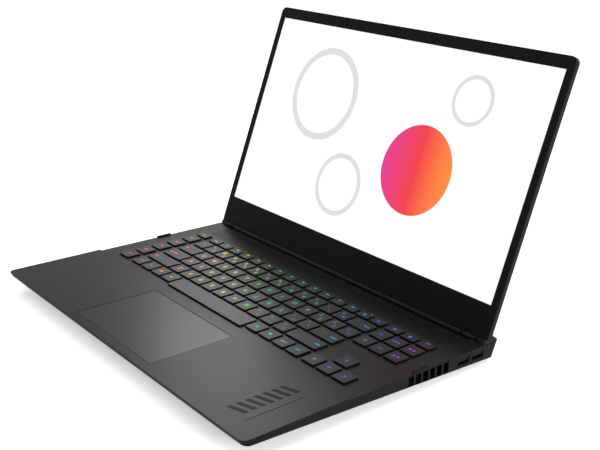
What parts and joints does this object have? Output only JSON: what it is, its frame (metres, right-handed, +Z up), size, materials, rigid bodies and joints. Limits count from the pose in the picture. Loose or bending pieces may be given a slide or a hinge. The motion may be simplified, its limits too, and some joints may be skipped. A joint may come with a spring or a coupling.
{
  "type": "laptop computer",
  "caption": "Thick dark-grey gaming laptop standing open: recessed backlit keyboard, touchpad, wide screen on two friction hinges, side ports, vents and rubber feet.",
  "frame": {"origin": "on the desk, under the middle of the box of the open laptop", "axes": "+X to the user's right, +Y from the user to the hinge, +Z up"},
  "size_m": [0.3974, 0.3522, 0.2601],
  "materials": {
    "anodised_deck": "satin bead-blasted, dark grey",
    "painted_cover": "satin black",
    "keycap_plastic": "satin charcoal, lit legends",
    "touchpad_glass": "satin grey",
    "bezel_plastic": "fine satin black",
    "screen_panel": "lit matt screen",
    "hinge_metal": "satin black",
    "black_rubber": "matt",
    "port_steel": "satin",
    "port_plastic": "matt black",
    "circuit_board": "solder mask",
    "inner_plastic": "matt black",
    "cooler_metal": "bare copper",
    "plate_steel": "satin",
    "led_light": "lit white"
  },
  "bodies": {
    "base": {"top_case": "anodised_deck", "bottom_cover": "painted_cover", "bottom_screws": "port_steel", "keyboard_backplate": "plate_steel", "touchpad_bracket": "plate_steel", "mainboard": "circuit_board", "memory_modules": "circuit_board", "storage_drive": "circuit_board", "battery_pack": "inner_plastic", "speaker_left": "inner_plastic", "speaker_right": "inner_plastic", "fan_housing_left": "inner_plastic", "fan_housing_right": "inner_plastic", "fin_stack_left": "cooler_metal", "fin_stack_right": "cooler_metal", "heat_pipes": "cooler_metal", "front_foot": "black_rubber", "rear_foot": "black_rubber", "lid_bumpers": "black_rubber", "power_led": "led_light", "hinge_pin_left": "hinge_metal", "hinge_pin_right": "hinge_metal", "usb_port_front": "port_plastic", "usb_port_rear": "port_plastic", "network_port": "port_steel", "video_port": "port_steel", "usb_c_port": "port_steel", "audio_jack": "port_plastic", "dc_inlet": "port_plastic"},
    "lid": {"lid_back_cover": "painted_cover", "screen_bezel": "bezel_plastic", "display_panel": "screen_panel", "webcam_module": "port_plastic", "hinge_cover": "hinge_metal", "hinge_knuckle_left": "hinge_metal", "hinge_knuckle_right": "hinge_metal"},
    "touchpad": {"touchpad_plate": "touchpad_glass"},
    "fan_left": {"fan_impeller_left": "inner_plastic"},
    "fan_right": {"fan_impeller_right": "inner_plastic"},
    "macro_keys": {"macro_keys": "keycap_plastic"},
    "function_keys": {"function_keys": "keycap_plastic"},
    "power_key": {"power_key": "keycap_plastic"},
    "number_keys": {"number_keys": "keycap_plastic"},
    "backspace_key": {"backspace_key": "keycap_plastic"},
    "tab_key": {"tab_key": "keycap_plastic"},
    "upper_letter_keys": {"upper_letter_keys": "keycap_plastic"},
    "caps_lock_key": {"caps_lock_key": "keycap_plastic"},
    "home_letter_keys": {"home_letter_keys": "keycap_plastic"},
    "enter_key": {"enter_key": "keycap_plastic"},
    "left_shift_key": {"left_shift_key": "keycap_plastic"},
    "lower_letter_keys": {"lower_letter_keys": "keycap_plastic"},
    "right_shift_key": {"right_shift_key": "keycap_plastic"},
    "modifier_keys": {"modifier_keys": "keycap_plastic"},
    "space_bar": {"space_bar": "keycap_plastic"},
    "navigation_keys": {"navigation_keys": "keycap_plastic"},
    "arrow_up_key": {"arrow_up_key": "keycap_plastic"},
    "arrow_left_key": {"arrow_left_key": "keycap_plastic"},
    "arrow_down_key": {"arrow_down_key": "keycap_plastic"},
    "arrow_right_key": {"arrow_right_key": "keycap_plastic"}
  },
  "joints": [
    {"name": "lid_hinge", "type": "hinge", "parent": "base", "child": "lid", "pos_m": [0, 0.08361, 0.0205], "axis": [1, 0, 0], "range_deg": [-25.3, 109.7]},
    {"name": "touchpad_press", "type": "hinge", "parent": "base", "child": "touchpad", "pos_m": [-0.00635, -0.08379, 0.02035], "axis": [1, 0, 0], "range_deg": [0, 0.35], "stiffness_Nm_per_rad": 26, "springref_deg": -0.11},
    {"name": "fan_left_spin", "type": "hinge", "parent": "base", "child": "fan_left", "pos_m": [-0.148, 0.02271, 0.0042], "axis": [0, 0, 1], "continuous": true},
    {"name": "fan_right_spin", "type": "hinge", "parent": "base", "child": "fan_right", "pos_m": [0.148, 0.02271, 0.0042], "axis": [0, 0, 1], "continuous": true},
    {"name": "macro_keys_press", "type": "slide", "parent": "base", "child": "macro_keys", "axis": [0, 0, -1], "range_m": [0, 0.0014], "stiffness_N_per_m": 420, "springref_m": -0.0005},
    {"name": "function_keys_press", "type": "slide", "parent": "base", "child": "function_keys", "axis": [0, 0, -1], "range_m": [0, 0.0014], "stiffness_N_per_m": 420, "springref_m": -0.0005},
    {"name": "power_key_press", "type": "slide", "parent": "base", "child": "power_key", "axis": [0, 0, -1], "range_m": [0, 0.0014], "stiffness_N_per_m": 420, "springref_m": -0.0005},
    {"name": "number_keys_press", "type": "slide", "parent": "base", "child": "number_keys", "axis": [0, 0, -1], "range_m": [0, 0.0014], "stiffness_N_per_m": 420, "springref_m": -0.0005},
    {"name": "backspace_key_press", "type": "slide", "parent": "base", "child": "backspace_key", "axis": [0, 0, -1], "range_m": [0, 0.0014], "stiffness_N_per_m": 420, "springref_m": -0.0005},
    {"name": "tab_key_press", "type": "slide", "parent": "base", "child": "tab_key", "axis": [0, 0, -1], "range_m": [0, 0.0014], "stiffness_N_per_m": 420, "springref_m": -0.0005},
    {"name": "upper_letter_keys_press", "type": "slide", "parent": "base", "child": "upper_letter_keys", "axis": [0, 0, -1], "range_m": [0, 0.0014], "stiffness_N_per_m": 420, "springref_m": -0.0005},
    {"name": "caps_lock_key_press", "type": "slide", "parent": "base", "child": "caps_lock_key", "axis": [0, 0, -1], "range_m": [0, 0.0014], "stiffness_N_per_m": 420, "springref_m": -0.0005},
    {"name": "home_letter_keys_press", "type": "slide", "parent": "base", "child": "home_letter_keys", "axis": [0, 0, -1], "range_m": [0, 0.0014], "stiffness_N_per_m": 420, "springref_m": -0.0005},
    {"name": "enter_key_press", "type": "slide", "parent": "base", "child": "enter_key", "axis": [0, 0, -1], "range_m": [0, 0.0014], "stiffness_N_per_m": 420, "springref_m": -0.0005},
    {"name": "left_shift_key_press", "type": "slide", "parent": "base", "child": "left_shift_key", "axis": [0, 0, -1], "range_m": [0, 0.0014], "stiffness_N_per_m": 420, "springref_m": -0.0005},
    {"name": "lower_letter_keys_press", "type": "slide", "parent": "base", "child": "lower_letter_keys", "axis": [0, 0, -1], "range_m": [0, 0.0014], "stiffness_N_per_m": 420, "springref_m": -0.0005},
    {"name": "right_shift_key_press", "type": "slide", "parent": "base", "child": "right_shift_key", "axis": [0, 0, -1], "range_m": [0, 0.0014], "stiffness_N_per_m": 420, "springref_m": -0.0005},
    {"name": "modifier_keys_press", "type": "slide", "parent": "base", "child": "modifier_keys", "axis": [0, 0, -1], "range_m": [0, 0.0014], "stiffness_N_per_m": 420, "springref_m": -0.0005},
    {"name": "space_bar_press", "type": "slide", "parent": "base", "child": "space_bar", "axis": [0, 0, -1], "range_m": [0, 0.0014], "stiffness_N_per_m": 420, "springref_m": -0.0005},
    {"name": "navigation_keys_press", "type": "slide", "parent": "base", "child": "navigation_keys", "axis": [0, 0, -1], "range_m": [0, 0.0014], "stiffness_N_per_m": 420, "springref_m": -0.0005},
    {"name": "arrow_up_key_press", "type": "slide", "parent": "base", "child": "arrow_up_key", "axis": [0, 0, -1], "range_m": [0, 0.0014], "stiffness_N_per_m": 420, "springref_m": -0.0005},
    {"name": "arrow_left_key_press", "type": "slide", "parent": "base", "child": "arrow_left_key", "axis": [0, 0, -1], "range_m": [0, 0.0014], "stiffness_N_per_m": 420, "springref_m": -0.0005},
    {"name": "arrow_down_key_press", "type": "slide", "parent": "base", "child": "arrow_down_key", "axis": [0, 0, -1], "range_m": [0, 0.0014], "stiffness_N_per_m": 420, "springref_m": -0.0005},
    {"name": "arrow_right_key_press", "type": "slide", "parent": "base", "child": "arrow_right_key", "axis": [0, 0, -1], "range_m": [0, 0.0014], "stiffness_N_per_m": 420, "springref_m": -0.0005}
  ]
}
